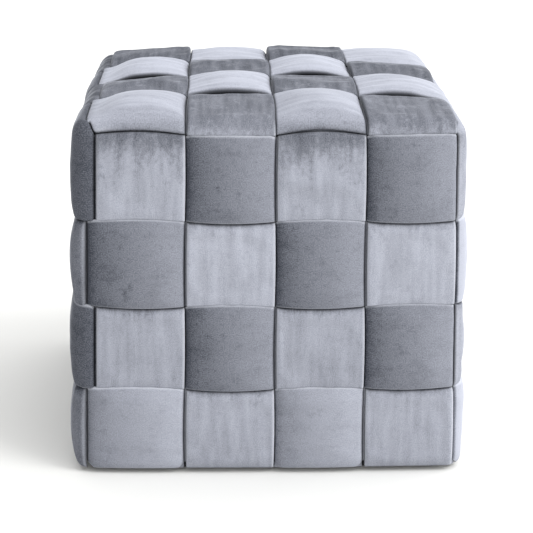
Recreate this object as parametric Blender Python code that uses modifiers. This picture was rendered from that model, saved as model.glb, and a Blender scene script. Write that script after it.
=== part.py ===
"""A cube pouf stool: twelve padded velvet bands, woven over and under each other round a filled cube.

Four rings run round the sides, four straps run up the front, over the top and down the back, and four
straps run up the left side, over the top and down the right side. Each face shows four by four cells, in
each of which one band lies over the other. A flat panel closes the underside.

Metres, +Z up, front towards -Y. The origin is on the floor, under the middle of the pouf.

The weave is worked out from a mid surface, a cube with rounded edges. A band lies outwards of it where it
is over, and inwards where it is under, and the two meet each other along one shared interface.
"""

import math

import bmesh
import bpy
from mathutils import Vector

# Driving sizes
CELLS = 4  # bands side by side on each face
CELL = 0.095  # width of a strap, and of a cell along the front, the sides and the top
RING_PITCH = 0.0926  # height of a ring
EDGE_RADIUS = 0.0105  # of the mid surface along the cube's edges
LAYER = 0.003  # half the thickness of a band where another presses it flat
PUFF = 0.003  # how much more the middle of a cell stands out
CORNER_FILL = 0.003  # rise of the outer straps' edges at the top corners
CLEAR = 0.0003  # between the panel and what stands on it
BLOCK_CLEAR = 0.0007  # between a band and the filled body
BAND_CLEAR = 0.0005  # between two bands, one over the other
SIDE_CLEAR = 0.0006  # of a band's edge from the line where cells meet
PANEL_THICKNESS = 0.0032
PANEL_HALF = 0.1955
PANEL_CORNER = 0.016
STRAP_LIFT = 0.007  # how far the lowest ring rises under a strap, which tucks in below it
TAPER = 0.12  # loss of width for each metre of height
TAPER_HEIGHT = 0.2  # where the width is as given
BULGE = 0.006  # how far the middle of each side stands out
BULGE_HEIGHT = 0.17  # where it stands out most
BULGE_REACH = 0.25  # distance from there to where it ends
CROWN = 0.0055  # rise of the middle of the top
BACK_FALL = 0.0075  # fall of the top towards its left and right ends, at the back
FRONT_FALL = 0.003  # and at the front
ROUNDING = 4  # how squarely a band's cross-section is filled
SHOULDERS = (0.3, 0.7)  # where a cell that lies over bends, as parts of its width
MIDDLE = 0.5  # and where a cell that lies under does
ARC_STEPS = 3  # flats on each rounded edge
BLOCK_CUTS = 7  # cuts across each face of the filled body, so that it can follow the crown
SHARP_ANGLE = math.radians(35)  # above this an edge is drawn as a crease

# Sizes that follow from those
QUARTER = EDGE_RADIUS * math.pi / 2
RAMP = QUARTER / ARC_STEPS  # the length over which a band dives under its neighbour
COLUMN_SHIFT = RAMP  # of the front straps towards the right, from the middle of the pouf
HALF = CELLS * CELL / 2  # half the flat width of a face
FACE = HALF + EDGE_RADIUS  # from the middle to the mid surface of a side
FOOT = PANEL_THICKNESS + CLEAR  # lower edge of the lowest ring
RISE = CELLS * RING_PITCH  # flat height of a side
SHOULDER = FOOT + RISE
TOP = SHOULDER + EDGE_RADIUS
BLOCK_INSET = 2 * LAYER + BLOCK_CLEAR  # from the mid surface to the filled body

# The side straps nearest the front and the back wrap over the rounded edges beside them. On the left and
# on the top they cover the whole edge, and on the right a part of it, as the front straps reach round it.
# The highest ring wraps over the edge between the left side and the top.
WRAP_ON_RIGHT = QUARTER - COLUMN_SHIFT
RING_WRAP = 0.94 * QUARTER
WIDENING = 0.85  # how fast the side strap by the front widens again next to the highest ring

LIGHT_VELVET = "B2B7C3"  # seen along its nap
DARK_VELVET = "7B808D"  # seen against its nap
SHADED_VELVET = "565B66"
PANEL_BLACK = "17181A"
VELVET_ROUGHNESS = 0.75
FELT_ROUGHNESS = 0.9


def linear(hex_colour):
    """An sRGB hex colour as linear values."""
    parts = [int(hex_colour[i : i + 2], 16) / 255 for i in (0, 2, 4)]
    return [c / 12.92 if c <= 0.04045 else ((c + 0.055) / 1.055) ** 2.4 for c in parts] + [1.0]


def cloth(name, hex_colour, roughness):
    material = bpy.data.materials.new(name)
    material.use_nodes = True
    shader = material.node_tree.nodes["Principled BSDF"]
    shader.inputs["Base Color"].default_value = linear(hex_colour)
    shader.inputs["Roughness"].default_value = roughness
    shader.inputs["Metallic"].default_value = 0.0
    return material


def settled(point):
    """The point once the pouf has spread towards its foot, its sides bulge and its top has a crown."""
    x, y, z = point
    off_x, off_y = min(1.0, abs(x) / FACE), min(1.0, abs(y) / FACE)
    spread = 1 + TAPER * (TAPER_HEIGHT - z)
    bulge = BULGE * max(0.0, 1 - ((z - BULGE_HEIGHT) / BULGE_REACH) ** 2)
    bulge_x = math.copysign(bulge * off_x**4 * (1 - off_y**2), x)
    bulge_y = math.copysign(bulge * off_y**4 * (1 - off_x**2), y)
    on_top = min(1.0, max(0.0, (z - SHOULDER + CELL / 2) / (CELL / 2)))
    towards_front = min(1.0, max(0.0, (1 - y / FACE) / 2))
    fall = BACK_FALL + (FRONT_FALL - BACK_FALL) * towards_front**2
    rise = CROWN * (1 - off_x**2) * (1 - off_y**2) - fall * off_x**4
    return Vector((x * spread + bulge_x, y * spread + bulge_y, z + on_top * rise))


def on_path(band, s):
    """Mid-line point and outward direction in the band's own plane, s metres along its path.

    The path is straight runs joined by quarter turns to the right, with the outside on its left.
    """
    at, ahead = Vector(band["start"]), Vector(band["heading"])
    for run in band["runs"]:
        outward = Vector((-ahead.y, ahead.x))
        if s <= run:
            return at + s * ahead, outward
        at += run * ahead
        s -= run
        if s < QUARTER:
            turned = s / EDGE_RADIUS
            normal = math.cos(turned) * outward + math.sin(turned) * ahead
            return at + EDGE_RADIUS * (normal - outward), normal
        at += EDGE_RADIUS * (ahead - outward)
        s -= QUARTER
        ahead = -outward
    return at, Vector((-ahead.y, ahead.x))


def on_surface(band, s, across, height):
    """The point that lies height outwards of the mid surface, s along the band and across it."""
    point, normal = on_path(band, s)
    tilt = 0.0
    if band["wraps"]:
        tilt = max(0.0, abs(across) - band["wrap_from"]) / EDGE_RADIUS
    out = EDGE_RADIUS + height
    in_plane = point - EDGE_RADIUS * normal + out * math.cos(tilt) * normal
    if tilt > 0:
        across = math.copysign(band["wrap_from"] + out * math.sin(tilt), across)
    return settled(band["place"](in_plane.x, in_plane.y, across))


def ramp(distance):
    return min(1.0, max(0.0, distance / RAMP))


def swell(distance, half):
    """Rise towards the middle of a cell: 0 at its ends, 1 from half a cell inwards."""
    return 1 - (1 - min(1.0, max(0.0, distance / half))) ** 2


def bulge(distance, half):
    """Outline of a stuffed band's cross-section: 0 at its edge, nearly 1 well before its middle."""
    return math.sqrt(1 - (1 - min(1.0, max(0.0, distance / half))) ** ROUNDING)


def spans(band):
    """The band's path as spans, each (start, end, over, crossed_start, crossed_end).

    A span where the band is over runs from the edge of one band that covers it to the edge of the next, so
    that it also takes in a rounded edge of the cube. The two last values are the band that it lies over.
    """
    crossings = band["crossings"]
    result = []
    for i, (start, end, over) in enumerate(crossings):
        low, high = start, end
        if over:
            low, high = crossings[i - 1][1], crossings[(i + 1) % len(crossings)][0]
            if i == 0:
                low -= band["length"]
            if i == len(crossings) - 1:
                high += band["length"]
        result.append((low, high, over, start, end))
    return result


def stations(band):
    """Distances along the path at which the band gets a cross-section."""
    found = []
    for low, high, over, start, end in spans(band):
        found += [low, low + RAMP, high - RAMP, high, start, start + RAMP, end - RAMP, end]
    turn_start = 0.0
    for run in band["runs"]:
        for low, high, over, start, end in spans(band):
            if turn_start <= (start + end) / 2 <= turn_start + run:
                flat_start, flat_end = max(start, turn_start), min(end, turn_start + run)
                parts = SHOULDERS if over else [MIDDLE]
                found += [flat_start + part * (flat_end - flat_start) for part in parts]
        turn_start += run
        if band["closed"] or turn_start < band["length"] - RAMP:
            found += [turn_start + step * RAMP for step in range(ARC_STEPS + 1)]
        turn_start += QUARTER
    if band["closed"]:
        found = [s % band["length"] for s in found]
    else:
        found = [s for s in found if 0 < s < band["length"]] + [0.0, band["length"]]
    kept = []
    for s in sorted(found):
        near_start = band["closed"] and band["length"] - s < SIDE_CLEAR
        if not near_start and (not kept or s - kept[-1] > SIDE_CLEAR):
            kept.append(s)
    return kept


def corner_fill(s):
    """Rise of a wrapped strap's outer edge where it goes round a top corner of the cube."""
    for turn_start in (RISE, RISE + QUARTER + 2 * HALF):
        if turn_start < s < turn_start + QUARTER:
            return CORNER_FILL * math.sin(math.pi * (s - turn_start) / QUARTER)
    return 0.0


def cross_section(band, s):
    """The band's closed cross-section at s, as points (across, height), outer side first."""
    for low, high, over, start, end in spans(band):
        if band["closed"]:
            lap = band["length"] * round((s - (low + high) / 2) / band["length"])
            low, high, start, end = low + lap, high + lap, start + lap, end + lap
        if low <= s <= high:
            break
    to_end = min(s - low, high - s)
    along = ramp(to_end)
    crossed = ramp(min(s - start, end - s)) if over else along
    first, last = band["edges"](s, over, to_end)
    half = (last - first) / 2

    # Both sides bend where the interface does and over the cube's edge, and each once or twice in between.
    breaks = [first + RAMP, last - RAMP]
    flat_edge, ahead, width = first, 1, last - first
    if band["wraps"]:
        flat_edge, ahead, width = (first, 1, CELL) if band["wraps"] > 0 else (last, -1, CELL)
        outer_edge = first + last - flat_edge
        breaks += [outer_edge - ahead * step * RAMP for step in range(2, band["wrap_steps"] + 1)]
    outer_breaks = sorted(breaks + [flat_edge + ahead * part * width for part in SHOULDERS])
    inner_breaks = sorted(breaks + [flat_edge + ahead * MIDDLE * width])

    def heights(across):
        to_edge = min(across - first, last - across)
        flat = ramp(to_edge)
        if not over:
            return LAYER * (flat - along) - BAND_CLEAR / 2 * along, -LAYER * (flat + along)
        full = bulge(to_edge, half)
        outer = LAYER * (along + flat + (full - flat) * along)
        outer += PUFF * swell(to_end, CELL / 2) * full
        return outer, LAYER * (crossed - flat) + BAND_CLEAR / 2 * crossed

    edge_height = (LAYER + BAND_CLEAR / 2) * (along if over else -along)
    fill = corner_fill(s) if over and band["corner_fill"] else 0.0
    points = [(first + SIDE_CLEAR, edge_height + (fill if band["wraps"] < 0 else 0.0))]
    points += [(w, heights(w)[0]) for w in outer_breaks]
    points += [(last - SIDE_CLEAR, edge_height + (fill if band["wraps"] > 0 else 0.0))]
    points += [(w, heights(w)[1]) for w in reversed(inner_breaks)]
    return points


def add_band(band, material, collection):
    """One closed loft through the band's cross-sections."""
    mesh = bmesh.new()
    loops = []
    for s in stations(band):
        section = cross_section(band, s)
        loops.append([mesh.verts.new(on_surface(band, s, across, height)) for across, height in section])
    count = len(loops[0])
    following = loops[1:] + loops[:1] if band["closed"] else loops[1:]
    for here, there in zip(loops, following):
        for k in range(count):
            after = (k + 1) % count
            mesh.faces.new((here[k], there[k], there[after], here[after]))
    if not band["closed"]:
        mesh.faces.new(loops[0])
        mesh.faces.new(reversed(loops[-1]))
    bmesh.ops.recalc_face_normals(mesh, faces=mesh.faces)
    return add_object(band["name"], mesh, material, collection)


def add_object(name, mesh, material, collection):
    data = bpy.data.meshes.new(name)
    mesh.to_mesh(data)
    mesh.free()
    data.shade_smooth()
    data.set_sharp_from_angle(angle=SHARP_ANGLE)
    data.materials.append(material)
    result = bpy.data.objects.new(name, data)
    collection.objects.link(result)
    return result


def cell_ranges(first, pitch):
    return [(first + k * pitch, first + (k + 1) * pitch) for k in range(CELLS)]


def ring_band(row):
    """Ring 1 is the highest. Its path starts at the left end of the front and runs towards the right."""
    side = 2 * HALF + QUARTER
    crossings = []
    for k, (start, end) in enumerate(cell_ranges(COLUMN_SHIFT, CELL)):
        crossings.append((start, end, (k + 1 + row) % 2 == 1))
    for k, (start, end) in enumerate(cell_ranges(side, CELL)):
        start -= WRAP_ON_RIGHT if k == 0 else 0.0
        end += WRAP_ON_RIGHT if k == CELLS - 1 else 0.0
        crossings.append((start, end, (k + 1 + row) % 2 == 1))
    for k, (start, end) in enumerate(cell_ranges(2 * side - COLUMN_SHIFT, CELL)):
        crossings.append((start, end, (CELLS - k + row) % 2 == 0))
    for k, (start, end) in enumerate(cell_ranges(3 * side, CELL)):
        start -= QUARTER if k == 0 else 0.0
        end += QUARTER if k == CELLS - 1 else 0.0
        crossings.append((start, end, (CELLS - k + row) % 2 == 0))
    low = SHOULDER - row * RING_PITCH

    def edges(s, over, to_end):
        lift = STRAP_LIFT if row == CELLS else 0.0
        if over:
            lift *= 1 - ramp(to_end)
        wrap = 0.0
        if row == 1:
            wrap = RING_WRAP * max(1 - ramp(s), min(1.0, (s - 3 * side + QUARTER) / QUARTER))
        return low + lift, low + RING_PITCH + wrap

    return {
        "name": f"ring_{row}",
        "start": (-HALF, FACE),
        "heading": (1, 0),
        "runs": [2 * HALF] * 4,
        "length": 4 * side,
        "closed": True,
        "wraps": 1 if row == 1 else 0,
        "wrap_from": SHOULDER,
        "wrap_steps": ARC_STEPS,
        "corner_fill": False,
        "place": lambda u, v, w: (u, -v, w),
        "edges": edges,
        "crossings": crossings,
    }


def strap_crossings(up_over, top_over, down_over, top_cells, wraps):
    """Crossings of a strap's path, from its lower end up one side, over the top and down the other side.

    The three arguments ..._over say, cell by cell along the path, whether the strap lies over the band
    there. top_cells are where the bands that it crosses on the top begin and end, and wraps says how far
    the first and the last band on the top, and the highest ring before them, reach over a rounded edge.
    """
    length = 2 * (RISE + QUARTER + HALF)
    first_wrap, last_wrap, ring_wrap = wraps
    crossings = [[a, b, over] for (a, b), over in zip(cell_ranges(0.0, RING_PITCH), up_over)]
    crossings[-1][1] += ring_wrap
    on_top = [[a, b, over] for (a, b), over in zip(top_cells, top_over)]
    on_top[0][0] -= first_wrap
    on_top[-1][1] += last_wrap
    crossings += on_top
    crossings += [[a, b, over] for (a, b), over in zip(cell_ranges(length - RISE, RING_PITCH), down_over)]

    # Below the lowest ring a strap turns in under it, as it does under any other band.
    a, b, over = crossings[0]
    if over:
        crossings[0] = (STRAP_LIFT, b, over)
        crossings.insert(0, (-CELL, STRAP_LIFT, False))
    else:
        crossings[0] = (-CELL, b, over)
    a, b, over = crossings[-1]
    if over:
        crossings[-1] = (a, length - STRAP_LIFT, over)
        crossings.append((length - STRAP_LIFT, length + CELL, False))
    else:
        crossings[-1] = (a, length + CELL, over)
    return crossings


def strap_band(name, place, crossings, edges, wraps, wrap_steps):
    return {
        "name": name,
        "start": (-FACE, FOOT),
        "heading": (0, 1),
        "runs": [RISE, 2 * HALF, RISE],
        "length": 2 * (RISE + QUARTER + HALF),
        "closed": False,
        "wraps": wraps,
        "wrap_from": HALF,
        "wrap_steps": wrap_steps,
        "corner_fill": wrap_steps == ARC_STEPS,
        "place": place,
        "edges": edges,
        "crossings": crossings,
    }


def front_strap(column):
    """Strap 1 is the leftmost. Its path starts at the foot of the front."""
    rows_up = range(CELLS, 0, -1)
    up_over = [(column + row) % 2 == 0 for row in rows_up]
    top_over = [(column + depth) % 2 == 1 for depth in range(1, CELLS + 1)]
    down_over = [(column + row) % 2 == 1 for row in range(1, CELLS + 1)]
    top_cells = cell_ranges(RISE + QUARTER, CELL)
    left = COLUMN_SHIFT - HALF + (column - 1) * CELL
    length = 2 * (RISE + QUARTER + HALF)

    def edges(s, over, to_end):
        """Strap 4 reaches past the flat of the face, but not where the rounded edges of the cube meet."""
        narrower = 0.0
        if column == CELLS:
            from_shoulder = min(abs(s - RISE), abs(length - RISE - s))
            narrower = COLUMN_SHIFT * max(0.0, 1 - from_shoulder / QUARTER)
        return left, left + CELL - narrower

    return strap_band(
        f"strap_front_{column}",
        lambda u, v, w: (w, u, v),
        strap_crossings(up_over, top_over, down_over, top_cells, (QUARTER, QUARTER, 0.0)),
        edges,
        1 if column == CELLS else 0,
        1,
    )


def side_strap(depth):
    """Strap 1 is the one nearest the front. Its path starts at the foot of the left side."""
    rows_up = range(CELLS, 0, -1)
    up_over = [(depth + row) % 2 == 1 for row in rows_up]
    top_over = [(depth + column) % 2 == 0 for column in range(1, CELLS + 1)]
    down_over = [(depth + row) % 2 == 0 for row in range(1, CELLS + 1)]
    top_cells = cell_ranges(RISE + QUARTER + COLUMN_SHIFT, CELL)
    near = -HALF + (depth - 1) * CELL

    def edges(s, over, to_end):
        past_left, past_top = s - RISE - QUARTER, s - RISE - QUARTER - 2 * HALF
        wrap = QUARTER - (QUARTER - WRAP_ON_RIGHT) * min(1.0, max(0.0, past_top / QUARTER))
        if depth == 1:
            # At the left end of the top it gives way to the highest ring, and widens again next to it.
            wrap = min(wrap, max(-past_left, QUARTER * ramp(WIDENING * past_left)))
        return near - wrap * (depth == 1), near + CELL + wrap * (depth == CELLS)

    return strap_band(
        f"strap_side_{depth}",
        lambda u, v, w: (u, w, v),
        strap_crossings(up_over, top_over, down_over, top_cells, (0.0, 0.0, QUARTER)),
        edges,
        {1: -1, CELLS: 1}.get(depth, 0),
        ARC_STEPS,
    )


def add_seat_block(material, collection):
    """The filled body that the bands are woven over, as a box with rounded edges."""
    mesh = bmesh.new()
    bmesh.ops.create_cube(mesh, size=1.0)
    bmesh.ops.subdivide_edges(mesh, edges=mesh.edges[:], cuts=BLOCK_CUTS, use_grid_fill=True)
    half = FACE - BLOCK_INSET
    top = TOP - BLOCK_INSET
    for vertex in mesh.verts:
        x, y, z = vertex.co
        vertex.co = settled((2 * half * x, 2 * half * y, FOOT + (top - FOOT) * (z + 0.5)))
    block = add_object("seat_block", mesh, material, collection)
    rounding = block.modifiers.new("Rounded edges", "BEVEL")
    rounding.width = EDGE_RADIUS - BLOCK_INSET
    rounding.segments = ARC_STEPS
    rounding.limit_method = "ANGLE"
    rounding.angle_limit = SHARP_ANGLE
    return block


def add_base_panel(material, collection):
    """The flat panel under the pouf, with rounded corners, over the ends of the straps."""
    mesh = bmesh.new()
    bmesh.ops.create_cube(mesh, size=1.0)
    for vertex in mesh.verts:
        x, y, z = vertex.co
        vertex.co = (2 * PANEL_HALF * x, 2 * PANEL_HALF * y, PANEL_THICKNESS * (z + 0.5))
    upright = [edge for edge in mesh.edges if abs(edge.verts[0].co.z - edge.verts[1].co.z) > CLEAR]
    steps = 2 * ARC_STEPS
    bmesh.ops.bevel(mesh, geom=upright, offset=PANEL_CORNER, segments=steps, affect="EDGES", profile=0.5)
    return add_object("base_panel", mesh, material, collection)


def main():
    for old in list(bpy.data.objects):
        bpy.data.objects.remove(old)
    pouf = bpy.data.collections.new("cube_pouf_stool")
    bpy.context.scene.collection.children.link(pouf)

    ring_velvet = cloth("Dark side of the velvet", DARK_VELVET, VELVET_ROUGHNESS)
    strap_velvet = cloth("Light side of the velvet", LIGHT_VELVET, VELVET_ROUGHNESS)
    body_velvet = cloth("Velvet between the bands", SHADED_VELVET, VELVET_ROUGHNESS)
    panel_felt = cloth("Black base felt", PANEL_BLACK, FELT_ROUGHNESS)

    for number in range(1, CELLS + 1):
        add_band(ring_band(number), ring_velvet, pouf)
        add_band(front_strap(number), strap_velvet, pouf)
        add_band(side_strap(number), strap_velvet, pouf)
    add_seat_block(body_velvet, pouf)
    add_base_panel(panel_felt, pouf)


main()
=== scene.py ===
"""Looks of the cube pouf stool: twelve padded velvet bands, woven round a filled cube.

Metres, +Z up, front towards -Y, origin on the floor under the middle of the pouf.
"""

import functools
import math

import bmesh
import bpy
from mathutils import Matrix, Vector


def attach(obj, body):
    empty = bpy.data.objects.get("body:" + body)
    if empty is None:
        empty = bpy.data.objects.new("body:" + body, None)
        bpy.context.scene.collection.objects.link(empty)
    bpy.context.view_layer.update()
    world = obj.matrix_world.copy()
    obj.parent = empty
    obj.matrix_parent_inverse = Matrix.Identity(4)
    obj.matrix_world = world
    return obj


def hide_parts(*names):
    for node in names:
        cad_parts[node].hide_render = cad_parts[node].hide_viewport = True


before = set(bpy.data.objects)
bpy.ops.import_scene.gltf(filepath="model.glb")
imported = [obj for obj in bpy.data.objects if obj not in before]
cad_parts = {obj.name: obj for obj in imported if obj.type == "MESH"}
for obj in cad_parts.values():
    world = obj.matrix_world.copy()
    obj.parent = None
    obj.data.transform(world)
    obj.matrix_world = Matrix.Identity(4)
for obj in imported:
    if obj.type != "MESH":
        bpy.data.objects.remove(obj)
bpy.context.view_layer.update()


# --------------------------------------------------------------------------------------------------------
# The filled body
# A cube of foam in a velvet lining, which the bands are woven round. It only shows, dark, at the bottom of
# the slits where four bands meet. The outer bands press it to a cube with softly rounded edges.

CELL = 0.095  # width of a strap
CELLS = 4  # bands side by side on each face
RING_PITCH = 0.0926  # height of a ring
EDGE_RADIUS = 0.0105  # of the surface half way through the weave, along the cube's edges
FOOT = 0.005  # lower edge of the lowest ring
HALF = CELLS * CELL / 2  # half the flat width of a face
FACE = HALF + EDGE_RADIUS  # from the middle of the pouf to a side
RISE = CELLS * RING_PITCH  # flat height of a side
SHOULDER = FOOT + RISE  # where the rounded edge of the top starts
TOP = SHOULDER + EDGE_RADIUS
TAPER, TAPER_HEIGHT = 0.12, 0.2  # loss of width for each metre of height, and where there is none
BULGE = 0.006  # how far the middle of a side stands out
BULGE_HEIGHT, BULGE_REACH = 0.17, 0.25  # where it does, and the distance from there to where it ends
CROWN = 0.0055  # rise of the middle of the top
BACK_FALL, FRONT_FALL = 0.0075, 0.0015  # of the top towards its left end, at the back and the front
FALL_ON_RIGHT = 0.45  # share of it towards the right end
EDGE_FALL = 0.0032  # of the top towards the middle of its front edge
WEAVE_DEPTH = 0.0069  # from the surface half way through the weave to the body
BODY_CUTS = 15
LINING_DARK, LINING_LIGHT = "32363D", "3C4048"
LINING_GRAIN = 700.0  # tufts a metre, one each 1.4 mm, coarser than the pile so that they show


def linear(hex_colour):
    """An sRGB hex colour as linear values."""
    parts = [int(hex_colour[i : i + 2], 16) / 255 for i in (0, 2, 4)]
    return [c / 12.92 if c <= 0.04045 else ((c + 0.055) / 1.055) ** 2.4 for c in parts] + [1.0]


def add(tree, kind, inputs, **settings):
    """A new node with its settings, and its inputs set to values or linked to nodes or sockets. The kind of
    a shader node goes without its prefix."""
    made = tree.nodes.new(kind if "Node" in kind else "ShaderNode" + kind)
    for name, value in settings.items():
        setattr(made, name, value)
    for key, value in inputs.items():
        if isinstance(value, bpy.types.Node):
            value = next(socket for socket in value.outputs if socket.enabled)
        if isinstance(value, bpy.types.NodeSocket):
            tree.links.new(value, made.inputs[key])
        else:
            made.inputs[key].default_value = value
    return made


def new_material(name, finish):
    """A material with its node tree and its shader, whose sockets are set to the finish."""
    material = bpy.data.materials.new(name)
    material.use_nodes = True
    shader = material.node_tree.nodes["Principled BSDF"]
    for socket, value in finish.items():
        shader.inputs[socket].default_value = value
    return material, material.node_tree, shader


def clipped(value):
    """The value, held between 0 and 1."""
    return min(1.0, max(0.0, value))


def settled(x, y, z):
    """The point once the pouf has spread towards its foot, its sides bulge and its top has a crown."""
    off_x, off_y = min(1.0, abs(x) / FACE), min(1.0, abs(y) / FACE)
    spread = 1 + TAPER * (TAPER_HEIGHT - z)
    bulge = BULGE * max(0.0, 1 - ((z - BULGE_HEIGHT) / BULGE_REACH) ** 2)
    bulge_x = math.copysign(bulge * off_x**4 * (1 - off_y**2), x)
    bulge_y = math.copysign(bulge * off_y**4 * (1 - off_x**2), y)
    on_top = clipped((z - SHOULDER + CELL / 2) / (CELL / 2))
    fall = BACK_FALL + (FRONT_FALL - BACK_FALL) * clipped((1 - y / FACE) / 2) ** 2
    fall *= 1 - (1 - FALL_ON_RIGHT) * clipped((1 + x / FACE) / 2)
    rise = CROWN * (1 - off_x**2) * (1 - off_y**2) - fall * off_x**4
    rise -= EDGE_FALL * off_y**6 * (1 - off_x**2) if y < 0 else 0.0
    return x * spread + bulge_x, y * spread + bulge_y, z + on_top * rise


# Velvet lining: a dull, dark pile, as it is only seen in the shade of the slits.
lining, tree, shader = new_material("Velvet lining", {"Roughness": 0.85, "Sheen Weight": 0.3})
place = add(tree, "TexCoord", {}).outputs["Object"]
pile = add(tree, "TexNoise", {"Vector": place, "Scale": LINING_GRAIN, "Detail": 2.0})
shade = add(tree, "ValToRGB", {"Fac": pile})
shade.color_ramp.elements[0].color = linear(LINING_DARK)
shade.color_ramp.elements[1].color = linear(LINING_LIGHT)
tree.links.new(shade.outputs["Color"], shader.inputs["Base Color"])
relief = add(tree, "Bump", {"Height": pile, "Strength": 0.4, "Distance": 0.0003})
tree.links.new(relief.outputs["Normal"], shader.inputs["Normal"])

mesh = bmesh.new()
bmesh.ops.create_cube(mesh, size=1.0)
bmesh.ops.subdivide_edges(mesh, edges=mesh.edges[:], cuts=BODY_CUTS, use_grid_fill=True)
half = FACE - WEAVE_DEPTH
low, high = FOOT + WEAVE_DEPTH / 4, TOP - WEAVE_DEPTH
radius = EDGE_RADIUS - WEAVE_DEPTH
for vertex in mesh.verts:
    x, y, z = vertex.co
    corner = Vector((2 * half * x, 2 * half * y, (high - low) * (z + 0.5) + low))
    limits = ((-half, half), (-half, half), (low, high))
    core = Vector([max(a + radius, min(b - radius, place)) for place, (a, b) in zip(corner, limits)])
    outwards = corner - core
    if outwards.length > radius:
        corner = core + radius * outwards.normalized()
    vertex.co = settled(*corner)
data = bpy.data.meshes.new("filled_body")
mesh.to_mesh(data)
mesh.free()
data.shade_smooth()
data.materials.append(lining)
body = bpy.data.objects.new("filled_body", data)
bpy.context.scene.collection.objects.link(body)
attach(body, "root")
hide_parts("seat_block")


# --------------------------------------------------------------------------------------------------------
# The woven bands
# Four rings run round the sides, and eight straps run up one side, over the top and down the other. Each
# is a flat velvet tube with a soft filling, folded and sewn along its hidden side. A plain weave holds
# them: a band dives under its neighbour at the end of each cell, and its edges roll over what lies beside.

LAYER = 0.0055  # height of a band over the surface half way through the weave, before it puffs
PUFF = 0.0032  # how much more the middle of a cell stands out
EDGE_ROLL = 0.003  # width of the roll along a band's long edges
ROLL_SHAPE = 2.1  # 2 is a quarter circle, and more is squarer
EDGE_LOW = 0.0002  # height of a long edge at the ends of a cell
EDGE_LIFT = 0.0012  # how much higher a band is in its middle, where it stands off what lies under it
INNER_SIDE, INNER_DIP = 0.0002, 0.0015  # height of a band's inner side, and how far it dips at the tucks
UNDER_OUTER, UNDER_EDGE, UNDER_INNER = -0.0003, -0.0028, -0.0058  # heights of a band that lies under
GATHER, GATHER_REACH = 0.0007, 0.03  # depth of the small gathers at the tucked ends, and their length
PULL, UNEVEN = 0.0012, 0.0009  # depth of the long pull lines, and of the filling's unevenness
SEED_STEP = 7.3  # sets the bands' gathers and pull lines apart
FOLD = 0.0013  # width of the painted shade in the fold along the lower or left edge of a band, and at the tucks
LOW_RIM = 0.6  # share of the painted rim highlight that edge gets, of what the other edge gets
RIM_START, RIM_END = 0.0005, 0.0025  # the zone along the other edge that gets the painted rim highlight
BROW_WIDTH = 0.022  # of the zone over the lower edge that painted shade darkens, where the band turns away from the light
BROW_PRESS = 3.0  # how much less the band stands off there, for each part of painted shade
HELD, FREE, FREE_EDGE = 0.003, 0.018, 0.008  # from a tuck, where velvet is held and free; free from an edge
OUTER_POINTS, INNER_POINTS = 26, 8  # round a cross-section

# What a band's guide says at each station, three numbers to a name
GUIDE = (
    "position",
    "out",
    "ahead",
    "edges",  # first and last edge, and the length of velvet up to here
    "span",  # whether the band is over, the distance to the nearest tuck, and how strong the pull lines are
    "tuck",  # height of the roll and of the swelling towards the tucks, and how steep the first edge is
    "bow",  # sideways and forwards, and how far the band is lifted
    "nap",  # how light it looks, from its nap and from painted light and shade; how much it is pressed, with painted shade below an edge; and how far the band puffs
    "folds",  # share of the painted rim highlights, width of the painted fold shade, and the painted shade over the first edge
)

weave = bpy.data.node_groups.new("Woven padded band", "GeometryNodeTree")
for name, kind in (
    ("Guide", "Geometry"),
    ("Stations", "Int"),
    ("Across", "Vector"),
    ("Lateral start", "Float"),
    ("Lateral pitch", "Float"),
    ("Lateral low", "Float"),
    ("Lateral high", "Float"),
    ("Wrap from", "Float"),
    ("Seed", "Float"),
    ("Velvet", "Material"),
):
    weave.interface.new_socket(name, in_out="INPUT", socket_type="NodeSocket" + kind)
weave.interface.new_socket("Band", in_out="OUTPUT", socket_type="NodeSocketGeometry")
node = functools.partial(add, weave)
given = node("NodeGroupInput", {}).outputs

# A grid of stations along the band and points round its cross-section
last_point = OUTER_POINTS + INNER_POINTS
grid = node("GeometryNodeMeshGrid", {"Vertices X": given["Stations"], "Vertices Y": last_point + 1})
index = node("GeometryNodeInputIndex", {})
row = node("Math", {0: index, 1: last_point + 1.0}, operation="DIVIDE")
row = node("Math", {0: row}, operation="FLOOR")
around = node("Math", {0: index, 1: last_point + 1.0}, operation="MODULO")
inside = node("Math", {0: around, 1: OUTER_POINTS + 0.5}, operation="GREATER_THAN")
going = node("Math", {0: around, 1: float(OUTER_POINTS)}, operation="DIVIDE")
back = node("Math", {0: float(last_point), 1: around}, operation="SUBTRACT")
back = node("Math", {0: back, 1: float(INNER_POINTS)}, operation="DIVIDE")
part = node("Math", {0: going, 1: back}, operation="MINIMUM")
turn = node("Math", {0: part, 1: math.pi}, operation="MULTIPLY")
turn = node("Math", {0: turn}, operation="COSINE")
part = node("MapRange", {"Value": turn, "From Min": 1.0, "From Max": -1.0})

# What the guide says at this station
at = {}
for name in GUIDE:
    read = node("GeometryNodeInputNamedAttribute", {"Name": name}, data_type="FLOAT_VECTOR")
    wanted = {"Geometry": given["Guide"], "Value": read.outputs["Attribute"], "Index": row}
    at[name] = node("GeometryNodeSampleIndex", wanted, data_type="FLOAT_VECTOR")
first, last, along = node("SeparateXYZ", {0: at["edges"]}).outputs
over, to_tuck, pull = node("SeparateXYZ", {0: at["span"]}).outputs
tuck_roll, tuck_swell, sharpness = node("SeparateXYZ", {0: at["tuck"]}).outputs
bow_middle, bow_seam, lift = node("SeparateXYZ", {0: at["bow"]}).outputs
tone, pressed, puff = node("SeparateXYZ", {0: at["nap"]}).outputs
rim_share, fold_width, brow_shade = node("SeparateXYZ", {0: at["folds"]}).outputs
across = node("MapRange", {"Value": part, "To Min": first, "To Max": last})
from_first = node("Math", {0: across, 1: first}, operation="SUBTRACT")
to_last = node("Math", {0: last, 1: across}, operation="SUBTRACT")
softened = node("Math", {0: from_first, 1: sharpness}, operation="MULTIPLY")
to_edge = node("Math", {0: softened, 1: to_last}, operation="MINIMUM")

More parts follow.
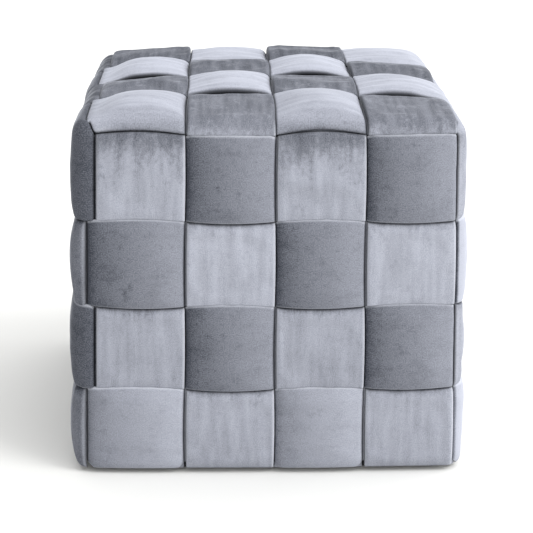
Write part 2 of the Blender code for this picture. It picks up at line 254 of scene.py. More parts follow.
# The rounded rolls along the long edges and the puff between them
heights = []
for width, power in ((EDGE_ROLL, ROLL_SHAPE), (CELL / 2, 2.0)):
    left = node("MapRange", {"Value": to_edge, "From Max": width, "To Min": 1.0, "To Max": 0.0})
    left = node("Math", {0: left, 1: power}, operation="POWER")
    heights.append(node("Math", {0: 1.0, 1: left}, operation="SUBTRACT"))
edge_roll, edge_swell = heights
edge_roll = node("Math", {0: edge_roll, 1: 1 / ROLL_SHAPE}, operation="POWER")

# Outer side of a band that lies over. Where its lower edge is pressed down, it stands off less there.
browed = node("MapRange", {"Value": from_first, "From Max": BROW_WIDTH, "To Min": -1.0, "To Max": 0.0})
held_down = node("Math", {0: brow_shade, 1: BROW_PRESS}, operation="MULTIPLY")
held_down = node("Math", {0: browed, 1: held_down, 2: 1.0}, operation="MULTIPLY_ADD")
lift = node("Math", {0: lift, 1: held_down}, operation="MULTIPLY")
lifted_middle = node("Math", {0: tuck_swell, 1: lift}, operation="MULTIPLY")
edge_height = node("Math", {0: tuck_swell, 1: lift, 2: EDGE_LOW}, operation="MULTIPLY_ADD")
off_edge = node("Math", {0: 1.0, 1: edge_roll}, operation="SUBTRACT")
off_tuck = node("Math", {0: 1.0, 1: tuck_roll}, operation="SUBTRACT")
lifted = node("Math", {0: edge_height, 1: off_edge}, operation="MULTIPLY")
rolled = node("Math", {0: edge_roll, 1: tuck_roll}, operation="MULTIPLY")
puffed = node("Math", {0: edge_swell, 1: tuck_swell}, operation="MULTIPLY")
pulled = node("Math", {0: rolled, 1: pull}, operation="MULTIPLY")
outer = lifted
for share, height in ((rolled, LAYER), (edge_roll, EDGE_LOW), (puffed, puff), (lifted_middle, edge_roll)):
    outer = node("Math", {0: share, 1: height, 2: outer}, operation="MULTIPLY_ADD")

# Gathers at the tucks, long pull lines, and the uneven filling, each a stretched noise along the band
near_tuck = node("MapRange", {"Value": to_tuck, "From Max": GATHER_REACH, "To Min": 1.0, "To Max": 0.0})
near_tuck = node("Math", {0: near_tuck, 1: 2.0}, operation="POWER")
near_tuck = node("Math", {0: near_tuck, 1: rolled}, operation="MULTIPLY")
own_place = node("CombineXYZ", {0: along, 1: across, 2: given["Seed"]})
for wide, long, depth, mask in (
    (0.008, 0.06, GATHER, near_tuck),
    (0.013, 0.22, PULL, pulled),
    (0.05, 0.05, UNEVEN, puffed),
):
    stretch = node("VectorMath", {0: own_place, 1: (1 / long, 1 / wide, SEED_STEP)}, operation="MULTIPLY")
    noise = node("TexNoise", {"Vector": stretch, "Scale": 1.0, "Detail": 1.0})
    noise = node("MapRange", {"Value": noise, "To Min": -2 * depth, "To Max": 2 * depth})
    outer = node("Math", {0: noise, 1: mask, 2: outer}, operation="MULTIPLY_ADD")

# The other three sides: its inner side, and both sides of a band that lies under
inner = node("Math", {0: off_tuck, 1: -INNER_DIP, 2: INNER_SIDE}, operation="MULTIPLY_ADD")
inner = node("Math", {0: edge_roll, 1: inner, 2: lifted}, operation="MULTIPLY_ADD")
under_outer, under_inner, tucked_inner = (
    node("Mix", {"Factor": edge_roll, 2: edge, 3: middle}, data_type="FLOAT")
    for edge, middle in (
        (UNDER_EDGE, UNDER_OUTER),
        (UNDER_EDGE, UNDER_INNER),
        (EDGE_LOW, INNER_SIDE - INNER_DIP),
    )
)
under = []
for tucked, untucked in ((EDGE_LOW, under_outer), (tucked_inner, under_inner)):
    under.append(node("Mix", {"Factor": tuck_roll, 2: tucked, 3: untucked}, data_type="FLOAT"))
outer = node("Mix", {"Factor": over, 2: under[0], 3: outer}, data_type="FLOAT")
inner = node("Mix", {"Factor": over, 2: under[1], 3: inner}, data_type="FLOAT")
height = node("Mix", {"Factor": inside, 2: outer, 3: inner}, data_type="FLOAT")

# Seams bow away from the band that lies over
phase = across
for operation, other in (
    ("SUBTRACT", given["Lateral start"]),
    ("DIVIDE", given["Lateral pitch"]),
    ("MULTIPLY", math.pi),
):
    phase = node("Math", {0: phase, 1: other}, operation=operation)
from_low = node("Math", {0: across, 1: given["Lateral low"]}, operation="SUBTRACT")
to_high = node("Math", {0: given["Lateral high"], 1: across}, operation="SUBTRACT")
to_border = node("Math", {0: from_low, 1: to_high}, operation="MINIMUM")
fade = node("MapRange", {"Value": to_border, "From Max": CELL / 2}, interpolation_type="SMOOTHSTEP")
sideways = node("Math", {0: phase}, operation="COSINE")
sideways = node("Math", {0: sideways, 1: bow_middle}, operation="MULTIPLY")
sideways = node("Math", {0: sideways, 1: fade}, operation="MULTIPLY")
forwards = node("Math", {0: phase}, operation="SINE")
forwards = node("Math", {0: forwards, 1: bow_seam}, operation="MULTIPLY")
shifted = node("Math", {0: across, 1: sideways}, operation="SUBTRACT")

# Onto the cube with rounded edges; an outer strap also wraps over the edge beside it
size = node("Math", {0: across}, operation="ABSOLUTE")
beyond = node("Math", {0: size, 1: given["Wrap from"]}, operation="SUBTRACT")
beyond = node("Math", {0: beyond, 1: 0.0}, operation="MAXIMUM")
side = node("Math", {0: across}, operation="SIGN")
back = node("Math", {0: beyond, 1: side}, operation="MULTIPLY")
kept = node("Math", {0: shifted, 1: back}, operation="SUBTRACT")
tilt = node("Math", {0: beyond, 1: EDGE_RADIUS}, operation="DIVIDE")
reach = node("Math", {0: height, 1: EDGE_RADIUS}, operation="ADD")
rise = node("Math", {0: tilt}, operation="COSINE")
rise = node("Math", {0: rise, 1: reach, 2: -EDGE_RADIUS}, operation="MULTIPLY_ADD")
swing = node("Math", {0: tilt}, operation="SINE")
swing = node("Math", {0: swing, 1: side}, operation="MULTIPLY")
lateral = node("Math", {0: swing, 1: reach, 2: kept}, operation="MULTIPLY_ADD")
point = at["position"]
for direction, distance in ((at["out"], rise), (at["ahead"], forwards), (given["Across"], lateral)):
    part = node("VectorMath", {0: direction, "Scale": distance}, operation="SCALE")
    point = node("VectorMath", {0: point, 1: part}, operation="ADD")

# The pouf's spread, bulge and crown, as in settled()
x, y, z = node("SeparateXYZ", {0: point}).outputs
spread = node("Math", {0: z, 1: -TAPER, 2: 1 + TAPER * TAPER_HEIGHT}, operation="MULTIPLY_ADD")
bulge = node("Math", {0: z, 1: BULGE_HEIGHT}, operation="SUBTRACT")
bulge = node("Math", {0: bulge, 1: BULGE_REACH}, operation="DIVIDE")
bulge = node("Math", {0: bulge, 1: bulge}, operation="MULTIPLY")
bulge = node("Math", {0: 1.0, 1: bulge}, operation="SUBTRACT", use_clamp=True)
offs = []
for value in (x, y):
    off = node("Math", {0: value}, operation="ABSOLUTE")
    off = node("Math", {0: off, 1: FACE}, operation="DIVIDE", use_clamp=True)
    square = node("Math", {0: off, 1: 2.0}, operation="POWER")
    fourth = node("Math", {0: off, 1: 4.0}, operation="POWER")
    offs.append((fourth, node("Math", {0: 1.0, 1: square}, operation="SUBTRACT")))
(fourth_x, inner_x), (fourth_y, inner_y) = offs
moved = []
for value, fourth, inner_share in ((x, fourth_x, inner_y), (y, fourth_y, inner_x)):
    out_by = node("Math", {0: fourth, 1: inner_share}, operation="MULTIPLY")
    out_by = node("Math", {0: out_by, 1: bulge}, operation="MULTIPLY")
    sign = node("Math", {0: value}, operation="SIGN")
    sign = node("Math", {0: sign, 1: BULGE}, operation="MULTIPLY")
    out_by = node("Math", {0: out_by, 1: sign}, operation="MULTIPLY")
    moved.append(node("Math", {0: value, 1: spread, 2: out_by}, operation="MULTIPLY_ADD"))
on_top = node("MapRange", {"Value": z, "From Min": SHOULDER - CELL / 2, "From Max": SHOULDER})
fall = node("MapRange", {"Value": y, "From Min": FACE, "From Max": -FACE})
fall = node("Math", {0: fall, 1: 2.0}, operation="POWER")
fall = node("MapRange", {"Value": fall, "To Min": -BACK_FALL, "To Max": -FRONT_FALL})
side_share = {"Value": x, "From Min": -FACE, "From Max": FACE, "To Min": 1.0, "To Max": FALL_ON_RIGHT}
side_share = node("MapRange", side_share)
near_edge = node("MapRange", {"Value": y, "From Max": -FACE})
near_edge = node("Math", {0: near_edge, 1: 6.0}, operation="POWER")
near_edge = node("Math", {0: near_edge, 1: inner_x}, operation="MULTIPLY")
fall = node("Math", {0: fall, 1: fourth_x}, operation="MULTIPLY")
fall = node("Math", {0: fall, 1: side_share}, operation="MULTIPLY")
fall = node("Math", {0: near_edge, 1: -EDGE_FALL, 2: fall}, operation="MULTIPLY_ADD")
crown = node("Math", {0: inner_x, 1: inner_y}, operation="MULTIPLY")
rise = node("Math", {0: crown, 1: CROWN, 2: fall}, operation="MULTIPLY_ADD")
z = node("Math", {0: rise, 1: on_top, 2: z}, operation="MULTIPLY_ADD")
point = node("CombineXYZ", {0: moved[0], 1: moved[1], 2: z})
shape = node("GeometryNodeSetPosition", {"Geometry": grid, "Position": point})

# Where the filling may move the velvet, where a painted highlight gives it bright rims, and where painted
# shade gives it its dark fold
free = {"Value": to_tuck, "From Min": HELD, "From Max": FREE}
free = node("MapRange", free, interpolation_type="SMOOTHSTEP")
free_edge = node("MapRange", {"Value": to_edge, "From Max": FREE_EDGE})
outside = node("Math", {0: 1.0, 1: inside}, operation="SUBTRACT")
rim = {"Value": to_last, "From Min": RIM_START, "From Max": RIM_END, "To Min": 1.0, "To Max": 0.0}
rim = node("MapRange", rim)
low_rim = node("MapRange", {"Value": from_first, "From Max": 2 * FOLD, "To Min": LOW_RIM, "To Max": 0.0})
rim = node("Math", {0: rim, 1: low_rim}, operation="MAXIMUM")
fold = node("MapRange", {"Value": from_first, "From Max": fold_width, "To Min": 1.0, "To Max": 0.0})
tucked = node("MapRange", {"Value": to_tuck, "From Max": FOLD, "To Min": 1.0, "To Max": 0.0})
fold = node("Math", {0: fold, 1: tucked}, operation="MAXIMUM")
for share in (over, free_edge, outside):
    free = node("Math", {0: free, 1: share}, operation="MULTIPLY")
for share in (over, rim_share):
    rim = node("Math", {0: rim, 1: share}, operation="MULTIPLY")
fold = node("Math", {0: fold, 1: over}, operation="MULTIPLY")
# Painted shade over the lower edge, where the band turns away from the light
tone = node("Math", {0: browed, 1: brow_shade, 2: tone}, operation="MULTIPLY_ADD")
cloth_place = node("CombineXYZ", {0: along, 1: across})
read = node("GeometryNodeInputNamedAttribute", {"Name": "cloth_place"}, data_type="FLOAT_VECTOR")
for name, value, kind, domain in (
    ("cloth_place", cloth_place, "FLOAT_VECTOR", "POINT"),
    ("fabric", read.outputs["Attribute"], "FLOAT2", "CORNER"),
    ("tone", tone, "FLOAT", "POINT"),
    ("pressed", pressed, "FLOAT", "POINT"),
    ("rim", rim, "FLOAT", "POINT"),
    ("fold", fold, "FLOAT", "POINT"),
    ("free", free, "FLOAT", "POINT"),
):
    stored = {"Geometry": shape, "Name": name, "Value": value}
    shape = node("GeometryNodeStoreNamedAttribute", stored, data_type=kind, domain=domain)
shape = node("GeometryNodeMergeByDistance", {"Geometry": shape, "Distance": 0.00002})
shape = node("GeometryNodeSetShadeSmooth", {"Geometry": shape, "Shade Smooth": True})
shape = node("GeometryNodeRealizeInstances", {"Geometry": shape})
shape = node("GeometryNodeSetMaterial", {"Geometry": shape, "Material": given["Velvet"]})
node("NodeGroupOutput", {"Band": shape})
identifiers = {item.name: item.identifier for item in weave.interface.items_tree if item.in_out == "INPUT"}

SHEEN = "E6EAF4"
# The painted rim highlight, the light and dark ends of the tone that the nap and painted light and shade
# set, and the painted fold shade
PAINTED_RIM_HIGHLIGHT, TONE_LIGHT, TONE_DARK, PAINTED_FOLD_SHADE = "D2D5DE", "A8ABB6", "383B43", "131519"


def velvet(name, streaks):
    """Short-pile polyester velvet, brushed one way. How light it looks along its nap and against it is
    painted into its colour, with painted light and shade on top: lighter towards the light, darker on the
    shaded sides, at the tucks and under the edges of other bands. It has soft mottling where the pile is
    pressed and faint streaks along the band; a painted highlight gives every rounded edge its bright rim,
    and painted shade darkens the folds. The grain is drawn at 1.2 mm, coarser than the real pile's 0.2 mm,
    so that it shows."""
    finish = {"Roughness": 0.85, "Specular IOR Level": 0.15, "Sheen Weight": 0.45, "Sheen Roughness": 0.2}
    material, tree, shader = new_material(name, {**finish, "Sheen Tint": linear(SHEEN)})
    told = {}
    for attribute in ("tone", "pressed", "rim", "fold"):
        told[attribute] = add(tree, "Attribute", {}, attribute_name=attribute).outputs["Fac"]
    place = add(tree, "Attribute", {}, attribute_name="fabric").outputs["Vector"]
    nap = told["tone"]
    layers = {}
    for layer, wide, long, detail, strength in (
        ("grain", 0.0011, 0.0013, 2.0, 0.3),
        ("mottle", 0.0045, 0.0055, 4.0, 0.12),
        ("patch", 0.022, 0.028, 2.0, 0.14),
        ("streak", 0.009, 0.07, 2.0, streaks),
    ):
        where = add(tree, "Mapping", {"Vector": place, "Scale": (1 / long, 1 / wide, 1.0)})
        layers[layer] = add(tree, "TexNoise", {"Vector": where, "Scale": 1.0, "Detail": detail})
        change = {"Value": layers[layer], "To Min": -strength, "To Max": strength}
        change = add(tree, "MapRange", change, clamp=False)
        nap = add(tree, "Math", {0: nap, 1: change}, operation="ADD")
    # A ragged zone is darker: below the upper end of a cell, where the pile is pressed and painted shade
    # stands for the shadow of the edge above; painted shade on the rounded edge between the left side and
    # the top; and the front straps on the top, against their nap
    ragged = add(tree, "Math", {0: layers["mottle"], 1: 0.9, 2: layers["patch"]}, operation="MULTIPLY_ADD")
    ragged = add(tree, "Math", {0: ragged, 1: told["pressed"]}, operation="ADD")
    ragged = {"Value": ragged, "From Min": 0.95, "From Max": 1.75}
    ragged = add(tree, "MapRange", ragged, interpolation_type="SMOOTHSTEP")
    nap = add(tree, "Math", {0: ragged, 1: -0.5, 2: nap}, operation="MULTIPLY_ADD", use_clamp=True)
    shade = add(tree, "ValToRGB", {"Fac": nap})
    shade.color_ramp.elements[0].color = linear(TONE_DARK)
    shade.color_ramp.elements[1].color = linear(TONE_LIGHT)
    shade.color_ramp.elements[1].position = 0.9
    # A painted highlight lightens the colour along a band's rounded edges, for the bright rim they catch.
    # Down in the fold along the lower or left edge, and at the tucks, painted shade darkens it.
    rim = add(tree, "Math", {0: told["rim"], 1: 0.55}, operation="MULTIPLY")
    colour = shade.outputs["Color"]
    for share, painted_colour in ((rim, PAINTED_RIM_HIGHLIGHT), (told["fold"], PAINTED_FOLD_SHADE)):
        mixed = {0: share, 6: colour, 7: linear(painted_colour)}
        colour = add(tree, "Mix", mixed, data_type="RGBA", clamp_factor=True).outputs[2]
    tree.links.new(colour, shader.inputs["Base Color"])
    relief = add(tree, "Bump", {"Height": layers["grain"], "Strength": 0.35, "Distance": 0.0003})
    tree.links.new(relief.outputs["Normal"], shader.inputs["Normal"])
    return material


ring_velvet = velvet("Polyester velvet, rings", 0.02)
strap_velvet = velvet("Polyester velvet, straps", 0.2)

COLUMN_SHIFT = 0.0053  # of the front straps towards the right, from the middle of the pouf
QUARTER = EDGE_RADIUS * math.pi / 2  # length of a path over a rounded edge
SIDE_LENGTH = 2 * HALF + QUARTER  # of a ring's path, on each side of the cube
TOP_START = RISE + QUARTER  # of the flat top, on a strap's path
TOP_END = TOP_START + 2 * HALF
STRAP_LENGTH = 2 * (RISE + QUARTER + HALF)
# Widths of the rolls where a band dives under its neighbour, at the start and the end of a cell
RING_TUCKS, STRAP_TUCKS = (0.013, 0.0045), (0.002, 0.01)
FOOT_ROLL = 0.018  # of a strap where it starts, and turns in at the foot
FOOT_EDGE = 0.3  # share of its steepness that the lowest ring's lower edge keeps, as it turns in there too
ARCH_START = 0.0015  # how far the front straps run on over the front's upper edge before they dive
ARCH_ROLL = 0.004  # width of the roll there, and over the back's upper edge
CORNER_ROLL = 0.012  # and where a side strap comes up again at the right end of the top
FRONT_WRAP = 0.0053  # of the rightmost front strap, over the top's right edge
RING_BOW, STRAP_BOW = 0.0021, 0.0006  # how far the edges bow, as the band that lies over pushes outwards
NEAR_TUCK = (0.0, 0.0007, 0.0018, 0.0034, 0.0056, 0.0085, 0.0125, 0.018)  # stations of the guide at a tuck
STEP, SHORTEST_STEP = 0.0066, 0.0004  # between the others, and between any two


def on_path(start, heading, runs, s):
    """Point, outward direction and heading in the band's own plane, s metres along its path: straight runs
    joined by quarter turns to the right, with the outside on its left."""
    at, ahead = Vector(start), Vector(heading)
    for run in runs:
        outward = Vector((-ahead.y, ahead.x))
        if s <= run:
            return at + s * ahead, outward, ahead
        at += run * ahead
        s -= run
        if s < QUARTER:
            turned = s / EDGE_RADIUS
            normal = math.cos(turned) * outward + math.sin(turned) * ahead
            heading_now = math.cos(turned) * ahead - math.sin(turned) * outward
            return at + EDGE_RADIUS * (normal - outward), normal, heading_now
        at += EDGE_RADIUS * (ahead - outward)
        s -= QUARTER
        ahead = -outward
    return at, Vector((-ahead.y, ahead.x)), ahead


def spans_of(crossings, length):
    """The path as (start, end, over): where the band is over, from one tuck to the next."""
    result = []
    for i, (start, end, over) in enumerate(crossings):
        if over:
            start, end = crossings[i - 1][1], crossings[(i + 1) % len(crossings)][0]
            start -= length if i == 0 else 0.0
            end += length if i == len(crossings) - 1 else 0.0
        result.append((start, end, over))
    return sorted(result)


def stations_of(spans, first_s, last_s):
    """The guide's stations as (s, start and end of the span, over), closest together near the tucks."""
    found = []
    for low, high, over in spans:
        if over:
            inner = high - low - 2 * NEAR_TUCK[-1]
            steps = max(1, round(inner / STEP))
            places = [low + d for d in NEAR_TUCK] + [high - d for d in NEAR_TUCK]
            places += [low + NEAR_TUCK[-1] + inner * k / steps for k in range(1, steps)]
        else:
            places = [low + d for d in NEAR_TUCK[1::2]] + [high - d for d in NEAR_TUCK[1::2]]
            places.append((low + high) / 2)
        found += [(s, low, high, over) for s in places if max(low, first_s) <= s <= min(high, last_s)]
    for s in (first_s, last_s):
        found.append((s, *next(span for span in spans if span[0] <= s <= span[1])))
    found.sort()
    stations = [found[0]]
    for station in found[1:]:
        if station[0] - stations[-1][0] > SHORTEST_STEP:
            stations.append(station)
    stations[-1] = found[-1]
    return stations


def eased(share):
    """The share, held between 0 and 1, with a soft start and end."""
    share = clipped(share)
    return share * share * (3 - 2 * share)


def rolled_share(distance, width):
    """Height of a rounded roll, from 0 at its edge to 1, at a distance from the edge."""
    return (1 - max(0.0, 1 - distance / width) ** ROLL_SHAPE) ** (1 / ROLL_SHAPE)


def swelled(to_end):
    """How far the filling has swelled a cell, from 0 at its tuck to 1 in its middle."""
    return 1 - max(0.0, 1 - to_end / (CELL / 2)) ** 2


def roll_widths(low, high, over, closed):
    """Widths of the rolls at the start and the end of a span."""
    if closed:
        return RING_TUCKS
    start_roll, end_roll = STRAP_TUCKS
    if low == 0.0:
        start_roll = FOOT_ROLL
    if abs(low - TOP_END - FRONT_WRAP) < SHORTEST_STEP:
        start_roll = CORNER_ROLL
    upper_edges = (RISE + ARCH_START, STRAP_LENGTH - RISE)
    if over and any(abs(high - edge) < SHORTEST_STEP for edge in upper_edges):
        end_roll = ARCH_ROLL
    return start_roll, end_roll


def bows_at(at_s, cells, closed):
    """How far the band's edges bow sideways, and its neighbours' forwards, as (middle, seam)."""
    own_bow, other_bow = (RING_BOW, STRAP_BOW) if closed else (STRAP_BOW, RING_BOW)
    if not closed and RISE < at_s < TOP_END:
        other_bow = STRAP_BOW
    middle = seam = 0.0
    for cell_start, cell_end, cell_over, border in cells:
        if cell_start <= at_s <= cell_end:
            turn = math.pi * (at_s - cell_start) / (cell_end - cell_start)
            sign = 1 if cell_over else -1
            fade = clipped(min(at_s - border[0], border[1] - at_s) / (CELL / 2))
            middle = sign * math.sin(turn) * own_bow
            seam = sign * math.cos(turn) * fade * other_bow
    return middle, seam


def make_band(name, path, closed, weaving, edges, place, across, wrap_from, lateral, tone_at, form_at, seed):
    """One band: a guide with the path and the crossings, which the node tree turns into padded velvet. The
    path is (start, heading, runs), weaving is (cells, crossings), and place puts a point into the room."""
    start, heading, runs = path
    cells, crossings = weaving
    length = (sum(runs) + len(runs) * QUARTER) if closed else sum(runs) + 2 * QUARTER
    spans = spans_of(crossings, length)
    first_s, last_s = 0.0, length
    if closed:
        hidden = next(i for i, span in enumerate(spans) if not span[2])
        first_s = sum(spans[hidden][:2]) / 2
        last_s = first_s + length
        spans = spans[hidden:] + [(a + length, b + length, over) for a, b, over in spans[: hidden + 1]]
    stations = stations_of(spans, first_s, last_s)

    corners = [sum(runs[: k + 1]) + k * QUARTER for k in range(len(runs) if closed else 2)]
    values = {key: [] for key in GUIDE}
    for s, low, high, over in stations:
        at_s = s % length if closed else s
        point, normal, ahead = on_path(start, heading, runs, at_s)
        to_end = min(s - low, high - s)
        longer = sum(min(math.pi / 2, max(0.0, s - corner) / EDGE_RADIUS) for corner in corners)
        pull, lift, puff, arch, *folds = form_at(at_s, to_end)
        start_roll, end_roll = roll_widths(low, high, over, closed)
        roll = rolled_share(s - low, start_roll) * rolled_share(high - s, end_roll)
        middle, seam = bows_at(at_s, cells, closed)
        values["position"] += place(point)
        values["out"] += place(normal)
        values["ahead"] += place(ahead)
        values["edges"] += (*edges(at_s, over, to_end), s + LAYER * longer)
        values["span"] += (float(over), to_end, pull)
        values["tuck"] += (roll, swelled(to_end), FOOT_EDGE if name == f"ring_{CELLS}" else 1.0)
        values["bow"] += (middle, seam + arch, lift)
        values["nap"] += (*tone_at(at_s, (s - low) if over else 1.0, (high - s) if over else 1.0), puff)
        values["folds"] += folds
    guide = bpy.data.meshes.new(name + "_guide")
    guide.from_pydata([(0, 0, 0)] * len(stations), [], [])
    for key, numbers in values.items():
        layer = guide.attributes.get(key) or guide.attributes.new(key, "FLOAT_VECTOR", "POINT")
        layer.data.foreach_set("vector", numbers)
    holder = bpy.data.objects.new(name + "_guide", guide)
    bpy.context.scene.collection.objects.link(holder)
    modifier = holder.modifiers.new("Weave", "NODES")
    modifier.node_group = weave
    for key, value in {
        "Stations": len(stations),
        "Across": across,
        "Lateral start": lateral[0],
        "Lateral pitch": lateral[1],
        "Lateral low": lateral[2],
        "Lateral high": lateral[3],
        "Wrap from": wrap_from,
        "Seed": seed,
        "Velvet": ring_velvet if closed else strap_velvet,
    }.items():
        modifier[identifiers[key]] = value
    graph = bpy.context.evaluated_depsgraph_get()
    made = bpy.data.meshes.new_from_object(holder.evaluated_get(graph))
    bpy.data.objects.remove(holder)
    band = bpy.data.objects.new("velvet_" + name, made)
    bpy.context.scene.collection.objects.link(band)
    return band


def flat_cells(first, pitch, overs, face):
    """Each cell as (start, end, over, (start and end of its face))."""
    return [(first + k * pitch, first + (k + 1) * pitch, over, face) for k, over in enumerate(overs)]


PULL_SHARE = 0.35  # strength of the pull lines, but for those that are tighter or slacker
bands = {}

# The rings. The highest one covers the edge between the left side and the top, and hooks down at the front.
WRAP_ON_RIGHT, WRAP_ON_LEFT = QUARTER - COLUMN_SHIFT, 0.84 * QUARTER  # of straps, over the upright edges
RING_WRAP = 0.8 * QUARTER  # of the highest ring, over the top's left edge
HOOK_START, HOOK_SHAPE = 0.004, 1.5  # before the left end of the front, and how late it hooks down
RING_OVERLAP, OVERLAP_REACH = 0.0025, 0.006  # how far a ring's upper edge is pressed on the strap below it
STRAP_LIFT, LIFT_REACH = 0.007, 0.0065  # of the lowest ring's lower edge, where a strap turns in under it
RING_NAP, LOWEST_NAP = 0.12, 0.38  # how light the rings look at the left end of a cell
PAINTED_LIGHT_ACROSS, NAP_MIDDLE = 0.32, 0.06  # and how much lighter at its right end, in painted light from the right, and in the front's middle
TUCK_SHADE, TUCK_SHADE_REACH = 0.16, 0.007  # how much painted shade darkens the ring where it comes up, and over what distance it fades
PAINTED_LIGHT_ON_RIGHT, PAINTED_SHADE_ON_LEFT = 0.9, 0.09  # how light the rings look on the right side, in painted light, and on the left side, in painted shade
ODD_START, EVEN_START = COLUMN_SHIFT + 0.003, -0.004  # where the front's nap starts on the rings, and the left side's painted shade ends
for number in range(1, CELLS + 1):
    # Its path starts at the left end of the front and runs towards the right.
    forth = [(k + number) % 2 == 1 for k in range(1, CELLS + 1)]
    back = [(CELLS + 1 - k + number) % 2 == 0 for k in range(1, CELLS + 1)]
    cells, crossings = [], []
    for begin, wrap, overs in (
        (COLUMN_SHIFT, 0.0, forth),
        (SIDE_LENGTH, WRAP_ON_RIGHT, forth),
        (2 * SIDE_LENGTH - COLUMN_SHIFT, 0.0, back),
        (3 * SIDE_LENGTH, WRAP_ON_LEFT, back),
    ):
        cells += flat_cells(begin, CELL, overs, (begin, begin + 2 * HALF))
        for k, over in enumerate(overs):
            begins = begin + k * CELL - (wrap if k == 0 else 0.0)
            ends = begin + (k + 1) * CELL + (wrap if k == CELLS - 1 else 0.0)
            crossings.append((begins, ends, over))
    low_edge = SHOULDER - number * RING_PITCH

    def ring_edges(s, over, to_end):
        lift = STRAP_LIFT if number == CELLS else 0.0
        wrap = 0.0
        if over:
            lift *= 1 - clipped(to_end / LIFT_REACH)
            wrap = RING_OVERLAP * min(1.0, to_end / OVERLAP_REACH)
        if number == 1:
            from_hook = s + HOOK_START - (0.0 if s < HALF else 4 * SIDE_LENGTH)
            hook = 1 - clipped(from_hook / (COLUMN_SHIFT + HOOK_START)) ** HOOK_SHAPE
            behind = clipped((s - 3 * SIDE_LENGTH + QUARTER) / QUARTER)
            wrap = max(wrap, RING_WRAP * (hook if s < HALF else min(hook, behind)))
        return low_edge + lift, low_edge + RING_PITCH + wrap

    def ring_tone(s, from_low, to_high):
        front_start = ODD_START if number % 2 else EVEN_START
        from_corner = s - 4 * SIDE_LENGTH if s > 3.5 * SIDE_LENGTH else s
        # Painted light on the right side, and painted shade on the left side
        if SIDE_LENGTH - QUARTER / 2 < from_corner < 2 * SIDE_LENGTH - QUARTER / 2:
            return PAINTED_LIGHT_ON_RIGHT, 0.0
        if from_corner < front_start or from_corner > 3 * SIDE_LENGTH - QUARTER / 2:
            return PAINTED_SHADE_ON_LEFT, 0.0
        nap = LOWEST_NAP if number == CELLS else RING_NAP
        # Painted light towards the right end of a cell, and painted shade where the ring comes up at its
        # left end
        nap += PAINTED_LIGHT_ACROSS * clipped(from_low / CELL)
        nap += NAP_MIDDLE * max(0.0, 1 - abs(s - 2 * HALF) / (2 * HALF))
        return nap - TUCK_SHADE * math.exp(-max(0.0, from_low) / TUCK_SHADE_REACH), 0.0

    def ring_form(s, to_end):
        wrapped = number == 1 and not COLUMN_SHIFT < s < 3 * SIDE_LENGTH - QUARTER
        return PULL_SHARE, EDGE_LIFT, PUFF, 0.0, float(not wrapped), FOLD, 0.0

    bands[f"ring_{number}"] = make_band(
        name=f"ring_{number}",
        path=((-HALF, FACE), (1, 0), [2 * HALF] * 4),
        closed=True,
        weaving=(cells, crossings),
        edges=ring_edges,
        place=lambda p: (p.x, -p.y, 0.0),
        across=(0, 0, 1),
        wrap_from=SHOULDER if number == 1 else 10.0,
        lateral=(low_edge, RING_PITCH, FOOT, SHOULDER),
        tone_at=ring_tone,
        form_at=ring_form,
        seed=number,
    )


def strap_layout(up_over, top_over, down_over, top_shift, wraps):
    """Cells and crossings of a strap's path, up one side, over the top and down the other side. The wraps
    are those of the highest ring and of the first and the last band on the top over a rounded edge."""
    cells = flat_cells(0.0, RING_PITCH, up_over, (0.0, RISE))
    cells += flat_cells(TOP_START + top_shift, CELL, top_over, (TOP_START, TOP_END))
    cells += flat_cells(STRAP_LENGTH - RISE, RING_PITCH, down_over, (STRAP_LENGTH - RISE, STRAP_LENGTH))
    crossings = [cell[:3] for cell in cells]
    ring_wrap, first_wrap, last_wrap = wraps
    for k, grow_start, grow_end in (
        (CELLS - 1, 0.0, ring_wrap),
        (CELLS, first_wrap, 0.0),
        (2 * CELLS - 1, 0.0, last_wrap),
    ):
        a, b, over = crossings[k]
        crossings[k] = (a - grow_start, b + grow_end, over)
    a, b, over = crossings[0]
    crossings[0] = (0.0 if over else -CELL, b, over)
    if over:
        crossings.insert(0, (-CELL, 0.0, False))
    a, b, over = crossings[-1]
    crossings[-1] = (a, STRAP_LENGTH if over else STRAP_LENGTH + CELL, over)
    if over:
        crossings.append((STRAP_LENGTH, STRAP_LENGTH + CELL, False))
    return cells, crossings


# How much the pile is pressed, and painted shade darkens it for the shadow of the edge above, at the upper
# end of a cell in the front's and in the back's top row, how far that reaches down, and the same in the
# other rows
FRONT_PRESS_SHADE, BACK_PRESS_SHADE, PRESS_SHADE_REACH = 0.87, 0.6, 0.024
LOW_PRESS_SHADE, LOW_PRESS_SHADE_REACH = 0.45, 0.006


def pressed_and_shaded_pile(s, from_low, to_high):
    """How much the pile is pressed, with painted shade for the shadow of the edge above, near the upper end
    of a cell on an upright face.
    """
    if RISE <= s <= STRAP_LENGTH - RISE:
        return 0.0
    rising = s < RISE
    down = to_high if rising else from_low
    if RISE - RING_PITCH < s < STRAP_LENGTH - RISE + RING_PITCH:
        return (FRONT_PRESS_SHADE if rising else BACK_PRESS_SHADE) * math.exp(-max(0.0, down) / PRESS_SHADE_REACH)
    return LOW_PRESS_SHADE * math.exp(-max(0.0, down) / LOW_PRESS_SHADE_REACH)


STRAP_PATH = ((-FACE, FOOT), (0, 1), [RISE, 2 * HALF, RISE])

